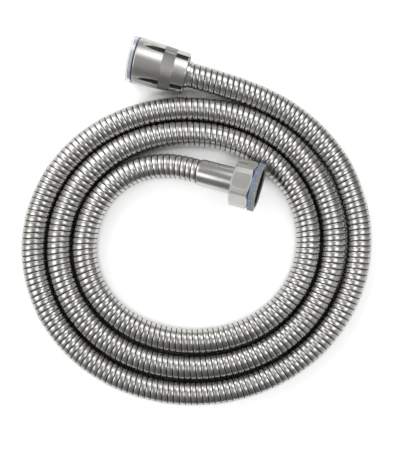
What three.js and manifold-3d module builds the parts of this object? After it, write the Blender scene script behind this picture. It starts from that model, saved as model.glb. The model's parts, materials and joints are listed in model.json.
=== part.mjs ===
// A shower hose in millimetres, +Z up, lying on z = 0 in a flat coil of nearly three turns.
// A spiral steel casing round a rubber tube ends in two crimped fittings: a round grip nut on the
// outer end and a hexagon nut on the inner end. Each nut turns freely on its fitting.

import * as THREE from "three";
import { mergeVertices } from "three/addons/utils/BufferGeometryUtils.js";
import Module from "manifold-3d";

const wasm = await Module();
wasm.setup();

// Driving dimensions of the hose
const hoseDiameter = 14;
const casingWall = 1.1;
const tubeBore = 8;
const hoseSteps = 80;
const casingSides = 12;
const tubeSides = 8;

// Driving dimensions of the two end fittings
const seatGap = 0.3;
const ferruleWall = 0.4;
const ferruleReach = 22.6;
const ferruleLip = 0.25;
const flangeThickness = 1.8;
const washerThickness = 2;
const washerBore = 11;
const slipRingThickness = 1.2;
const socketDiameter = 18.8;
const shoulderThickness = 2.6;
const barbLength = 20;
const barbCount = 4;
const barbDepth = 0.4;
const insertWall = 0.7;

// Driving dimensions of the grip nut
const gripMouthDiameter = 26;
const gripRearDiameter = 22.8;
const gripLength = 29;
const gripRearBore = 19.6;
const gripShoulderDepth = 10.5;
const gripEdgeRound = 0.4;
const slotCount = 4;
const slotWidth = 3.3;
const slotFirstAngle = 28;
const frontSlotStart = 2.8;
const frontSlotEnd = 15;
const frontSlotDepth = 1.8;
const bandRecessDepth = 0.45;
const rearSlotStart = 21.7;
const rearSlotEnd = 28;
const rearSlotDepth = 1.4;
const gripRingReach = 3.5;
const gripRingWall = 1.3;

// Driving dimensions of the hexagon nut
const hexAcrossFlats = 24;
const hexAcrossCorners = 27.3;
const hexLength = 11;
const hexChamferAngle = 28;
const hexFaceInset = 0.3;
const hexRingReach = 4;
const hexRingWall = 0.6;
const notchWidth = 0.8;
const notchLength = 6;
const notchDepth = 0.8;
const notchAngle = -60;

// How far the spigots under the clear rings end behind the mouths, and start inside the nuts
const spigotShort = 0.6;
const spigotRoot = 0.5;

// Driving dimensions of the coil
const turnGap = 0.85;
const coilTurns = 2.55;
const coilPointsPerTurn = 20;
const coilCentre = new THREE.Vector2(-3.7, -12.6);
const coilRadius = 95.3;
const coilStartAngle = 24;
const ovalReach = 4.2;
const ovalAngle = 2.6;
const driftPerTurn = 0.35;

// Places of the two fittings: the middle of each mouth, its heading in plan and its upward tilt
const gripMouth = new THREE.Vector3(-37.1, 93.4, 13.7);
const gripHeading = 165.6;
const hexMouth = new THREE.Vector3(35.3, 19.5, 19.8);
const hexHeading = -16.2;
const hexTilt = 11.5;

// Points of the hose between each fitting and the coil, chosen by hand
const leadPoints = [
  [17.6, 79.0, 10.4],
  [28.9, 75.5, 9.2],
  [39.2, 71.5, 8.2],
  [50.8, 65.6, 7.3],
  [63.7, 56.3, 7.05],
  [76.1, 43.4, 7.0],
];
const tailPoints = [
  [-63.6, -3.2, 7.0],
  [-59.5, 8.1, 7.0],
  [-53.4, 17.2, 7.05],
  [-45.4, 24.6, 7.25],
  [-36.0, 29.8, 7.75],
  [-25.5, 32.6, 8.6],
  [-14.5, 32.9, 9.8],
];
const gripStraight = 9;
const hexStraight = 7;

// How far a cutting tool runs past the faces that it cuts
const cutMargin = 1;

// Numbers of facets
const roundSegments = 40;
const innerSegments = 32;
const slotFacets = 8;

// Sizes that follow from the driving dimensions
const hoseRadius = hoseDiameter / 2;
const turnPitch = hoseDiameter + turnGap;
const casingFlat = (hoseRadius - casingWall) * Math.cos(Math.PI / casingSides);
const tubeRadius = casingFlat - seatGap;
const tubeHoleRadius = tubeBore / 2 / Math.cos(Math.PI / tubeSides);
const barbRadius = tubeBore / 2 - seatGap;
const insertBore = barbRadius - barbDepth - insertWall;
const ferruleInner = hoseRadius + seatGap;
const ferruleOuter = ferruleInner + ferruleWall;
const nutBore = ferruleOuter + seatGap;
const socketRadius = socketDiameter / 2;
const flangeRadius = socketRadius - seatGap;
const gripRingRadius = gripMouthDiameter / 2 - gripEdgeRound / 2;
const gripRingBore = gripRingRadius - gripRingWall;
const gripSpigotRadius = gripRingBore - seatGap;
const hexRingBore = hexAcrossFlats / 2 - hexRingWall;
const hexSpigotRadius = hexRingBore - seatGap;
const gripTilt = THREE.MathUtils.radToDeg(
  Math.atan((gripMouthDiameter - gripRearDiameter) / 2 / gripLength),
);
const gripShoulder = gripRingReach + gripShoulderDepth;
const hexShoulder = hexRingReach + hexLength - shoulderThickness;

const steel = (roughness) =>
  new THREE.MeshStandardMaterial({ color: 0xb9b8b2, roughness, metalness: 1 });
const materials = {
  casing: steel(0.22),
  ferrule: steel(0.18),
  nut: steel(0.3),
  brass: new THREE.MeshStandardMaterial({ color: 0xc2a25a, roughness: 0.35, metalness: 1 }),
  tube: new THREE.MeshStandardMaterial({ color: 0x26262a, roughness: 0.8, metalness: 0 }),
  washer: new THREE.MeshStandardMaterial({ color: 0x1d1d1f, roughness: 0.85, metalness: 0 }),
  slipRing: new THREE.MeshStandardMaterial({ color: 0xe9e6dc, roughness: 0.5, metalness: 0 }),
  clear: new THREE.MeshStandardMaterial({
    color: 0x9fb2dc,
    roughness: 0.15,
    metalness: 0,
    transparent: true,
    opacity: 0.45,
  }),
};

// A closed solid turned about local Z from [radius, z] corners that run anticlockwise in that plane.
function turned(corners, segments) {
  const profile = [...corners, corners[0]].map(([r, z]) => new THREE.Vector2(r, z));
  const geometry = new THREE.LatheGeometry(profile, segments);
  return geometry.rotateX(Math.PI / 2);
}

function solidOf(geometry) {
  const bare = geometry.index ? geometry.toNonIndexed() : geometry.clone();
  bare.deleteAttribute("normal");
  bare.deleteAttribute("uv");
  const merged = mergeVertices(bare, 1e-4);
  return new wasm.Manifold(
    new wasm.Mesh({
      numProp: 3,
      vertProperties: new Float32Array(merged.attributes.position.array),
      triVerts: new Uint32Array(merged.index.array),
    }),
  );
}

function geometryOf(solid) {
  const mesh = solid.getMesh();
  const places = new Float32Array(mesh.numVert * 3);
  for (let i = 0; i < mesh.numVert; i++) {
    places.set(mesh.vertProperties.subarray(i * mesh.numProp, i * mesh.numProp + 3), i * 3);
  }
  const geometry = new THREE.BufferGeometry();
  geometry.setAttribute("position", new THREE.BufferAttribute(places, 3));
  geometry.setIndex(new THREE.BufferAttribute(mesh.triVerts, 1));
  const flat = geometry.toNonIndexed();
  flat.computeVertexNormals();
  return flat;
}

function piece(name, geometry, material) {
  const mesh = new THREE.Mesh(geometry, material);
  mesh.name = name;
  return mesh;
}

// A group whose local Z leaves the fitting's mouth, with local Y as near upwards as the tilt allows.
function fittingFrame(mouth, heading, tilt) {
  const turn = THREE.MathUtils.degToRad(heading);
  const rise = THREE.MathUtils.degToRad(tilt);
  const outward = new THREE.Vector3(
    Math.cos(turn) * Math.cos(rise),
    Math.sin(turn) * Math.cos(rise),
    Math.sin(rise),
  );
  const side = new THREE.Vector3(0, 0, 1).cross(outward).normalize();
  const up = outward.clone().cross(side);
  const group = new THREE.Group();
  group.applyMatrix4(new THREE.Matrix4().makeBasis(side, up, outward).setPosition(mouth));
  return { group, behind: (depth) => mouth.clone().addScaledVector(outward, -depth) };
}

const gripFrame = fittingFrame(gripMouth, gripHeading, gripTilt);
const hexFrame = fittingFrame(hexMouth, hexHeading, hexTilt);

// Depths behind the mouth of what is stacked against a nut's shoulder, from the shoulder outwards
function stackAt(shoulder) {
  const ringBack = shoulder - seatGap;
  const flangeBack = ringBack - slipRingThickness - seatGap;
  const washerBack = flangeBack - flangeThickness - seatGap;
  return {
    ringBack,
    flangeBack,
    washerBack,
    hoseEnd: flangeBack + seatGap,
    ferruleEnd: shoulder + ferruleReach,
  };
}

const gripStack = stackAt(gripShoulder);
const hexStack = stackAt(hexShoulder);

// The coil: an oval spiral whose turns lie side by side and whose middle drifts a little
function coilPoints() {
  const count = Math.round(coilTurns * coilPointsPerTurn);
  return Array.from({ length: count + 1 }, (_, i) => {
    const turns = i / coilPointsPerTurn;
    const angle = THREE.MathUtils.degToRad(coilStartAngle - 360 * turns);
    const oval = ovalReach * Math.cos(2 * (angle - THREE.MathUtils.degToRad(ovalAngle)));
    const radius = coilRadius - turnPitch * turns + oval;
    return new THREE.Vector3(
      coilCentre.x + radius * Math.cos(angle),
      coilCentre.y + driftPerTurn * turns + radius * Math.sin(angle),
      hoseRadius,
    );
  });
}

function straightOut(frame, stack, beyond) {
  const { hoseEnd, ferruleEnd } = stack;
  const middle = (hoseEnd + ferruleEnd) / 2;
  return [hoseEnd, middle, ferruleEnd, ferruleEnd + beyond].map(frame.behind);
}

const route = new THREE.CatmullRomCurve3([
  ...straightOut(gripFrame, gripStack, gripStraight),
  ...leadPoints.map((p) => new THREE.Vector3(...p)),
  ...coilPoints(),
  ...tailPoints.map((p) => new THREE.Vector3(...p)),
  ...straightOut(hexFrame, hexStack, hexStraight).reverse(),
]);
route.arcLengthDivisions = 2000;

function polygon(path, sides, radius) {
  const corners = Array.from({ length: sides }, (_, i) => {
    const angle = (2 * Math.PI * i) / sides;
    return new THREE.Vector2(radius * Math.cos(angle), radius * Math.sin(angle));
  });
  return path.setFromPoints(corners);
}

function alongHose(sides, outer, inner) {
  const section = polygon(new THREE.Shape(), sides, outer);
  section.holes.push(polygon(new THREE.Path(), sides, inner));
  return new THREE.ExtrudeGeometry(section, { steps: hoseSteps, extrudePath: route });
}

const hoseCasing = piece(
  "hose_casing",
  alongHose(casingSides, hoseRadius, hoseRadius - casingWall),
  materials.casing,
);
const innerTube = piece(
  "inner_tube",
  alongHose(tubeSides, tubeRadius, tubeHoleRadius),
  materials.tube,
);

// A thin sleeve crimped over the casing's end, with a rolled lip where the casing goes in
function ferrule({ hoseEnd, ferruleEnd }) {
  const corners = [
    [ferruleInner, -ferruleEnd + ferruleLip],
    [ferruleInner + ferruleLip / 2, -ferruleEnd],
    [ferruleOuter - ferruleLip / 2, -ferruleEnd],
    [ferruleOuter, -ferruleEnd + ferruleLip],
    [ferruleOuter, -hoseEnd],
    [ferruleInner, -hoseEnd],
  ];
  return turned(corners, innerSegments);
}

// The brass insert: a flange that the washer and slip ring bear on, and a barbed tail in the tube
function insert({ flangeBack }) {
  const barbPitch = barbLength / barbCount;
  const tail = [];
  for (let i = barbCount - 1; i >= 0; i--) {
    const start = -flangeBack - i * barbPitch;
    tail.push([barbRadius - barbDepth, start - barbPitch]);
    tail.push([barbRadius, start - barbPitch / 2]);
    tail.push([barbRadius - barbDepth, start - barbPitch / 2]);
  }
  const corners = [
    [insertBore, -flangeBack - barbLength],
    ...tail,
    [barbRadius - barbDepth, -flangeBack],
    [flangeRadius, -flangeBack],
    [flangeRadius, -flangeBack + flangeThickness],
    [insertBore, -flangeBack + flangeThickness],
  ];
  return turned(corners, innerSegments);
}

function flatRing(inner, outer, back, thickness) {
  const corners = [
    [inner, -back],
    [outer, -back],
    [outer, -back + thickness],
    [inner, -back + thickness],
  ];
  return turned(corners, innerSegments);
}

// The round-bottomed bar that mills a slot, running along local Z at the top of the nut
function slotBar(start, end, startHeight, endHeight) {
  const radius = slotWidth / 2;
  const section = new THREE.Shape();
  section.moveTo(radius, 2 * slotWidth);
  section.lineTo(radius, radius);
  section.absarc(0, radius, radius, 0, -Math.PI, true);
  section.lineTo(-radius, 2 * slotWidth);
  const length = Math.hypot(end - start, endHeight - startHeight);
  const bar = new THREE.ExtrudeGeometry(section, {
    depth: length,
    bevelEnabled: false,
    curveSegments: slotFacets,
  });
  bar.rotateX(Math.atan2(endHeight - startHeight, end - start));
  bar.rotateY(Math.PI);
  return bar.translate(0, startHeight, -start);
}

// The nut's outer radius at a depth behind its steel mouth
function gripRadiusAt(depth) {
  const share = depth / gripLength;
  return gripMouthDiameter / 2 + (share * (gripRearDiameter - gripMouthDiameter)) / 2;
}

function gripSlotBars() {
  const from = gripRingReach;
  const front = slotBar(
    from + frontSlotStart,
    from + frontSlotEnd,
    gripRadiusAt(frontSlotStart),
    gripRadiusAt(frontSlotEnd) - frontSlotDepth,
  );
  const recess = slotBar(
    from + frontSlotEnd - seatGap,
    from + rearSlotStart + seatGap,
    gripRadiusAt(frontSlotEnd) - bandRecessDepth,
    gripRadiusAt(rearSlotStart) - bandRecessDepth,
  );
  const rear = slotBar(
    from + rearSlotStart,
    from + rearSlotEnd,
    gripRadiusAt(rearSlotStart) - rearSlotDepth,
    gripRadiusAt(rearSlotEnd) - rearSlotDepth,
  );
  return [front, recess, rear];
}

// The round grip nut: a cone with a threaded socket, a shoulder and a wide clearance bore behind it
function gripNut() {
  const mouth = -gripRingReach;
  const rear = mouth - gripLength;
  const shoulderFront = -gripShoulder;
  const shoulderBack = shoulderFront - shoulderThickness;
  const corners = [
    [gripRearBore / 2, rear],
    [gripRearDiameter / 2 - gripEdgeRound, rear],
    [gripRearDiameter / 2, rear + gripEdgeRound],
    [gripMouthDiameter / 2, mouth - gripEdgeRound],
    [gripMouthDiameter / 2 - gripEdgeRound, mouth],
    [gripSpigotRadius, mouth],
    [gripSpigotRadius, -spigotShort],
    [socketRadius, -spigotShort],
    [socketRadius, shoulderFront],
    [nutBore, shoulderFront],
    [nutBore, shoulderBack],
    [gripRearBore / 2, shoulderBack],
  ];
  let nut = solidOf(turned(corners, roundSegments));
  for (let i = 0; i < slotCount; i++) {
    const angle = slotFirstAngle + (360 / slotCount) * i;
    for (const bar of gripSlotBars()) {
      nut = nut.subtract(solidOf(bar.rotateZ(THREE.MathUtils.degToRad(angle))));
    }
  }
  return geometryOf(nut);
}

// A plain round plug between two depths, for round blanks and for the tools that bore holes
function plug(radius, front, back) {
  const corners = [
    [0, -back],
    [radius, -back],
    [radius, -front],
    [0, -front],
  ];
  return solidOf(turned(corners, roundSegments));
}

// A hexagonal bar with one flat facing local +Y
function hexBar(front, back) {
  const section = polygon(new THREE.Shape(), 6, hexAcrossFlats / Math.sqrt(3));
  const bar = new THREE.ExtrudeGeometry(section, { depth: back - front, bevelEnabled: false });
  return solidOf(bar.translate(0, 0, -back));
}

// A turned blank with coned ends, which takes the corners off the hexagon nut
function conedBlank(front, back) {
  const across = hexAcrossCorners / 2;
  const face = hexAcrossFlats / 2 - hexFaceInset;
  const coneLength = (across - face) * Math.tan(THREE.MathUtils.degToRad(hexChamferAngle));
  const corners = [
    [0, -back],
    [face, -back],
    [across, -back + coneLength],
    [across, -front - coneLength],
    [face, -front],
    [0, -front],
  ];
  return solidOf(turned(corners, roundSegments));
}

// The hexagon nut: coned at both ends, with a spigot in front, a notch behind and a stepped bore
function hexNut() {
  const mouth = hexRingReach;
  const rear = hexRingReach + hexLength;
  const notch = new THREE.BoxGeometry(notchWidth, 2 * notchDepth, 2 * notchLength)
    .translate(0, hexAcrossFlats / 2, -rear)
    .rotateZ(THREE.MathUtils.degToRad(notchAngle));
  const nut = hexBar(mouth, rear)
    .intersect(conedBlank(mouth, rear))
    .add(plug(hexSpigotRadius, spigotShort, mouth + spigotRoot))
    .subtract(plug(socketRadius, spigotShort - cutMargin, hexShoulder))
    .subtract(plug(nutBore, hexShoulder - cutMargin, rear + cutMargin))
    .subtract(solidOf(notch));
  return geometryOf(nut);
}

// The clear round ring on the grip nut's spigot
function gripRing() {
  const back = gripRingReach - seatGap;
  return flatRing(gripRingBore, gripRingRadius, back, back);
}

// The clear hexagonal ring on the hexagon nut's spigot
function hexRing() {
  const back = hexRingReach - seatGap;
  const ring = hexBar(0, back)
    .intersect(plug(hexAcrossCorners / 2, -cutMargin, back + cutMargin))
    .subtract(plug(hexRingBore, -cutMargin, back + cutMargin));
  return geometryOf(ring);
}

function fixedPieces(end, stack) {
  return [
    piece(`${end}_insert`, insert(stack), materials.brass),
    piece(`${end}_ferrule`, ferrule(stack), materials.ferrule),
    piece(
      `${end}_washer`,
      flatRing(washerBore / 2, flangeRadius, stack.washerBack, washerThickness),
      materials.washer,
    ),
    piece(
      `${end}_slip_ring`,
      flatRing(nutBore, flangeRadius, stack.ringBack, slipRingThickness),
      materials.slipRing,
    ),
  ];
}

gripFrame.group.add(
  ...fixedPieces("grip", gripStack),
  piece("grip_nut", gripNut(), materials.nut),
  piece("grip_clear_ring", gripRing(), materials.clear),
);
hexFrame.group.add(
  ...fixedPieces("hex", hexStack),
  piece("hex_nut", hexNut(), materials.nut),
  piece("hex_clear_ring", hexRing(), materials.clear),
);

const showerHose = new THREE.Group();
showerHose.add(hoseCasing, innerTube, gripFrame.group, hexFrame.group);

export default showerHose;
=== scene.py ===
"""A coiled shower hose: a spiral steel casing with a round grip nut and a hexagon nut.

Sizes are in millimetres in the classes below and in metres in the scene. Pieces are made on the bench,
with their axis along Z and the mouth at its origin, and then put in their places.
"""

import json
import logging
import math
from collections.abc import Callable
from dataclasses import dataclass, field
from enum import Enum

import bpy
import numpy as np
from mathutils import Matrix, Vector

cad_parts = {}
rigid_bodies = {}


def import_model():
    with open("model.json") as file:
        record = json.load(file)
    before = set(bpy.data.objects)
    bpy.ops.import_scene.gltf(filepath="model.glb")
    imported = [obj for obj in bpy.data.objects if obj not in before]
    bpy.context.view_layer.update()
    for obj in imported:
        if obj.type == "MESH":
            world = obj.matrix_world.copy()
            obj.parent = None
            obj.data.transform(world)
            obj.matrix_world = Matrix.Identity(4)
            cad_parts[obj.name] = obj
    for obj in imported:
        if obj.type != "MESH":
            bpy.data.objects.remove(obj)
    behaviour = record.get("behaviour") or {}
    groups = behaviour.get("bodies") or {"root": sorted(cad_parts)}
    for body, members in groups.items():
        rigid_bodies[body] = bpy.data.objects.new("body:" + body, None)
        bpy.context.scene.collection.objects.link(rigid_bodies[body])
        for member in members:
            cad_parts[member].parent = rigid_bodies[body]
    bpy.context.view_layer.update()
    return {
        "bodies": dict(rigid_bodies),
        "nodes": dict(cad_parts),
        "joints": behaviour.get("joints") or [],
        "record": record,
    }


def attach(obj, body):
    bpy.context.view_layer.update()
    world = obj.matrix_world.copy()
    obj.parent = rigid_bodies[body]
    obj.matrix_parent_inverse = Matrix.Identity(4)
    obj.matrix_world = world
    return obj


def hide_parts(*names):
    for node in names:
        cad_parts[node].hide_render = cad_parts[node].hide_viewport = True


MM = 0.001
SAME_POINT = 1e-6
CORNER_SHARE = 0.3
OWN_PLACE = "own_place"

log = logging.getLogger("shower_hose")


class End(Enum):
    """The two end fittings, by the first word of their nodes' names."""

    GRIP = "grip"
    HEX = "hex"


class Cut(Enum):
    """What a tool does to a blank, in the words of the boolean modifier."""

    REMOVE = "DIFFERENCE"
    KEEP_COMMON = "INTERSECT"


# Modelling helpers


def only(piece: bpy.types.Object) -> None:
    """Selects one object alone and makes it the active one.

    Args:
        piece: The object to work on.
    """
    bpy.ops.object.select_all(action="DESELECT")
    piece.select_set(True)
    bpy.context.view_layer.objects.active = piece


def pick_points(piece: bpy.types.Object, chosen: Callable[[Vector], bool]) -> None:
    """Opens a piece in edit mode with only some of its points selected.

    Args:
        piece: The object to open.
        chosen: Says of a point's place whether it is selected.
    """
    only(piece)
    bpy.ops.object.mode_set(mode="EDIT")
    bpy.ops.mesh.select_all(action="DESELECT")
    bpy.ops.object.mode_set(mode="OBJECT")
    for vertex in piece.data.vertices:
        vertex.select = chosen(vertex.co)
    bpy.ops.object.mode_set(mode="EDIT")


def apply_modifier(piece: bpy.types.Object, kind: str, **settings: object) -> None:
    """Adds a modifier with these settings and applies it.

    Args:
        piece: The object that is finished with the modifier.
        kind: The modifier's type.
        settings: The modifier's properties.
    """
    only(piece)
    modifier = piece.modifiers.new(kind.lower(), kind)
    for name, value in settings.items():
        setattr(modifier, name, value)
    bpy.ops.object.modifier_apply(modifier=modifier.name)


def drawn_line(name: str, corners: list[tuple[float, float]]) -> bpy.types.Object:
    """Draws a profile in the XZ plane, from one point extruded corner to corner.

    Args:
        name: The new object's name.
        corners: Radius and height of each corner, in millimetres.

    Returns:
        The object that holds the line.
    """
    places = [Vector((radius, 0, height)) * MM for radius, height in corners]
    bpy.ops.object.select_all(action="DESELECT")
    bpy.ops.mesh.primitive_plane_add(size=MM, location=(0, 0, 0))
    line = bpy.context.active_object
    line.name = name
    bpy.ops.object.mode_set(mode="EDIT")
    bpy.ops.mesh.merge(type="CENTER")
    bpy.ops.transform.translate(value=places[0])
    for start, end in zip(places, places[1:]):
        bpy.ops.mesh.extrude_vertices_move(TRANSFORM_OT_translate={"value": end - start})
    bpy.ops.object.mode_set(mode="OBJECT")
    return line


def close_up(piece: bpy.types.Object) -> None:
    """Merges doubled points and turns every face outwards.

    Args:
        piece: The object whose mesh is cleaned.
    """
    only(piece)
    bpy.ops.object.mode_set(mode="EDIT")
    bpy.ops.mesh.select_all(action="SELECT")
    bpy.ops.mesh.remove_doubles(threshold=SAME_POINT)
    bpy.ops.mesh.normals_make_consistent(inside=False)
    bpy.ops.object.mode_set(mode="OBJECT")


def turned(name: str, corners: list[tuple[float, float]], steps: int) -> bpy.types.Object:
    """Spins a closed profile round the Z axis into a solid.

    Args:
        name: The new object's name.
        corners: Radius and height of each corner, in millimetres.
        steps: How many flats the turned piece has round it.

    Returns:
        The turned object.
    """
    piece = drawn_line(name, [*corners, corners[0]])
    bpy.ops.object.mode_set(mode="EDIT")
    bpy.ops.mesh.select_all(action="SELECT")
    bpy.ops.mesh.spin(steps=steps, angle=2 * math.pi, center=(0, 0, 0), axis=(0, 0, 1))
    bpy.ops.object.mode_set(mode="OBJECT")
    close_up(piece)
    return piece


def hexagonal(name: str, across_flats: float, top: float, bottom: float) -> bpy.types.Object:
    """Makes a hexagonal bar along Z with one flat facing Y.

    Args:
        name: The new object's name.
        across_flats: The bar's size across its flats, in millimetres.
        top: The height of its upper end.
        bottom: The height of its lower end.

    Returns:
        The bar.
    """
    bpy.ops.object.select_all(action="DESELECT")
    bpy.ops.mesh.primitive_cylinder_add(
        vertices=6,
        radius=across_flats / math.sqrt(3) * MM,
        depth=(top - bottom) * MM,
        location=(0, 0, (top + bottom) / 2 * MM),
        rotation=(0, 0, math.radians(30)),
    )
    bar = bpy.context.active_object
    bar.name = name
    bpy.ops.object.transform_apply()
    return bar


def machine(blank: bpy.types.Object, tool: bpy.types.Object, cut: Cut) -> None:
    """Cuts a blank with a tool, which is then thrown away.

    Args:
        blank: The object that is cut.
        tool: The object that cuts it.
        cut: Whether the tool's space is removed or kept.
    """
    apply_modifier(blank, "BOOLEAN", object=tool, operation=cut.value, solver="EXACT")
    bpy.data.objects.remove(tool)


def soften(piece: bpy.types.Object, width: float, angle: float = 35) -> None:
    """Breaks the sharp edges with a small rounding.

    Args:
        piece: The object whose edges are broken.
        width: The rounding's width, in millimetres.
        angle: The smallest angle between two faces that is rounded, in degrees.
    """
    apply_modifier(
        piece,
        "BEVEL",
        width=width * MM,
        segments=2,
        limit_method="ANGLE",
        angle_limit=math.radians(angle),
        miter_outer="MITER_ARC",
    )


def join(piece: bpy.types.Object, *others: bpy.types.Object) -> None:
    """Joins other objects into one piece.

    Args:
        piece: The object that stays.
        others: The objects that become part of it.
    """
    only(piece)
    for other in others:
        other.select_set(True)
    bpy.ops.object.join()


def remember_place(piece: bpy.types.Object) -> None:
    """Keeps each point's place on the bench as an attribute that the finishes read.

    Args:
        piece: An object that isn't yet bent or moved to its place.
    """
    places = np.empty(len(piece.data.vertices) * 3)
    piece.data.vertices.foreach_get("co", places)
    attribute = piece.data.attributes.new(OWN_PLACE, "FLOAT_VECTOR", "POINT")
    attribute.data.foreach_set("vector", places)


def smooth(piece: bpy.types.Object, angle: float) -> None:
    """Shades a piece smooth except at edges sharper than an angle.

    Args:
        piece: The object to shade.
        angle: The angle in degrees.
    """
    only(piece)
    bpy.ops.object.shade_smooth_by_angle(angle=math.radians(angle))


# Shader helpers


@dataclass(frozen=True)
class Socket:
    """One input or output of a shader group."""

    name: str
    kind: str
    value: float | tuple[float, ...] | None = None


@dataclass
class Effect:
    """A node group that is built once and placed in each material that needs it."""

    name: str
    inputs: list[Socket]
    outputs: list[Socket]
    tree: bpy.types.NodeTree = field(init=False)
    enter: bpy.types.Node = field(init=False)
    leave: bpy.types.Node = field(init=False)

    def __post_init__(self) -> None:
        """Makes the empty group with its sockets."""
        self.tree = bpy.data.node_groups.new(self.name, "ShaderNodeTree")
        for sockets, side in ((self.inputs, "INPUT"), (self.outputs, "OUTPUT")):
            for socket in sockets:
                made = self.tree.interface.new_socket(
                    socket.name, in_out=side, socket_type=f"NodeSocket{socket.kind}"
                )
                if socket.value is not None:
                    made.default_value = socket.value
        self.enter = self.tree.nodes.new("NodeGroupInput")
        self.leave = self.tree.nodes.new("NodeGroupOutput")


@dataclass
class Wiring:
    """Adds nodes to a tree and joins them."""

    tree: bpy.types.NodeTree

    def node(self, kind: str, inputs: dict | None = None, **settings: object) -> bpy.types.Node:
        """Adds a node.

        Args:
            kind: The node's type, without its ShaderNode prefix.
            inputs: Values or output sockets by input name or number.
            settings: The node's own properties.

        Returns:
            The node.
        """
        made = self.tree.nodes.new(f"ShaderNode{kind}")
        for name, value in settings.items():
            setattr(made, name, value)
        for key, value in (inputs or {}).items():
            self.feed(made.inputs[key], value)
        return made

    def feed(self, socket: bpy.types.NodeSocket, value: object) -> None:
        """Links a socket to an output, or sets its value.

        Args:
            socket: The input that is fed.
            value: An output socket or a plain value.
        """
        if isinstance(value, bpy.types.NodeSocket):
            self.tree.links.new(value, socket)
        else:
            socket.default_value = value

    def maths(self, operation: str, *values: object) -> bpy.types.NodeSocket:
        """Adds a math node and returns its result.

        Args:
            operation: The math node's operation.
            values: Up to three numbers or output sockets.

        Returns:
            The node's output.
        """
        made = self.node("Math", operation=operation)
        for socket, value in zip(made.inputs, values):
            self.feed(socket, value)
        return made.outputs[0]

    def ramp(self, value: object, low: float, high: float) -> bpy.types.NodeSocket:
        """Turns a value into a smooth mask that goes from 0 at low to 1 at high.

        Args:
            value: The value's output socket.
            low: Where the mask is 0.
            high: Where the mask is 1.

        Returns:
            The mask.
        """
        made = self.node(
            "MapRange",
            {"Value": value, "From Min": low, "From Max": high},
            interpolation_type="SMOOTHSTEP",
        )
        return made.outputs["Result"]

    def blend(self, share: object, first: object, second: object) -> bpy.types.NodeSocket:
        """Mixes two colours.

        Args:
            share: How much of the second colour shows.
            first: A colour or an output socket.
            second: A colour or an output socket.

        Returns:
            The mixed colour.
        """
        made = self.node("Mix", data_type="RGBA")
        self.feed(made.inputs["Factor"], share)
        for key, value in ((6, first), (7, second)):
            colour = (*value, 1.0) if isinstance(value, tuple) and len(value) == 3 else value
            self.feed(made.inputs[key], colour)
        return made.outputs[2]


def build_handling_marks() -> Effect:
    """Builds the cloudy marks that handling leaves on a surface.

    Returns:
        A group that puts out a mask of faint smudges and a mask of fine specks.
    """
    effect = Effect(
        "handling_marks",
        [
            Socket("Vector", "Vector"),
            Socket("Smudge Scale", "Float", 90.0),
            Socket("Speck Scale", "Float", 900.0),
        ],
        [Socket("Smudges", "Float"), Socket("Specks", "Float")],
    )
    wiring = Wiring(effect.tree)
    place = effect.enter.outputs["Vector"]
    clouds = wiring.node(
        "TexNoise",
        {"Vector": place, "Scale": effect.enter.outputs["Smudge Scale"], "Detail": 3.0, "Roughness": 0.6},
    )
    specks = wiring.node(
        "TexNoise",
        {"Vector": place, "Scale": effect.enter.outputs["Speck Scale"], "Detail": 2.0},
    )
    wiring.feed(effect.leave.inputs["Smudges"], wiring.ramp(clouds.outputs[0], 0.4, 0.68))
    wiring.feed(effect.leave.inputs["Specks"], wiring.ramp(specks.outputs[0], 0.35, 0.7))
    return effect


def build_turning_lines() -> Effect:
    """Builds the fine lines that a lathe or a polishing belt leaves round a piece.

    Returns:
        A group that puts out the height of the lines and a mask of the deeper ones.
    """
    effect = Effect(
        "turning_lines",
        [
            Socket("Vector", "Vector"),
            Socket("Round Scale", "Float", 60.0),
            Socket("Along Scale", "Float", 2500.0),
        ],
        [Socket("Height", "Float"), Socket("Deep", "Float")],
    )
    wiring = Wiring(effect.tree)
    stretch = wiring.node(
        "CombineXYZ",
        {
            "X": effect.enter.outputs["Round Scale"],
            "Y": effect.enter.outputs["Round Scale"],
            "Z": effect.enter.outputs["Along Scale"],
        },
    )
    place = wiring.node(
        "VectorMath",
        {0: effect.enter.outputs["Vector"], 1: stretch.outputs[0]},
        operation="MULTIPLY",
    )
    lines = wiring.node(
        "TexNoise", {"Vector": place.outputs[0], "Scale": 1.0, "Detail": 4.0, "Roughness": 0.65}
    )
    wiring.feed(effect.leave.inputs["Height"], lines.outputs[0])
    wiring.feed(effect.leave.inputs["Deep"], wiring.ramp(lines.outputs[0], 0.58, 0.74))
    return effect


@dataclass(frozen=True)
class Effects:
    """The shader groups that the finishes share."""

    marks: Effect
    lines: Effect


@dataclass(frozen=True)
class Finish:
    """What every finish has: a name, the record's slot, a base colour and a roughness."""

    name: str
    slot: str
    colour: tuple[float, float, float]
    roughness: float
    own_place: bool = True

    def start(self) -> tuple[bpy.types.Material, Wiring, bpy.types.Node, bpy.types.NodeSocket]:
        """Makes the material with its shader and the place that its patterns read.

        Returns:
            The material, its wiring, its shader node and the output that holds the place.
        """
        material = bpy.data.materials.new(self.name)
        material.use_nodes = True
        wiring = Wiring(material.node_tree)
        shader = material.node_tree.nodes["Principled BSDF"]
        if self.own_place:
            place = wiring.node("Attribute", attribute_name=OWN_PLACE).outputs["Vector"]
        else:
            place = wiring.node("TexCoord").outputs["Object"]
        return material, wiring, shader, place

    def placed(self, wiring: Wiring, effect: Effect, place: object, **values: float) -> bpy.types.Node:
        """Places a shader group in the material.

        Args:
            wiring: The material's wiring.
            effect: The group to place.
            place: The output that its patterns read.
            values: The group's other inputs, with spaces written as underscores.

        Returns:
            The group's node.
        """
        node = wiring.node("Group", node_tree=effect.tree)
        wiring.feed(node.inputs["Vector"], place)
        for name, value in values.items():
            node.inputs[name.replace("_", " ").title()].default_value = value
        return node


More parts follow.
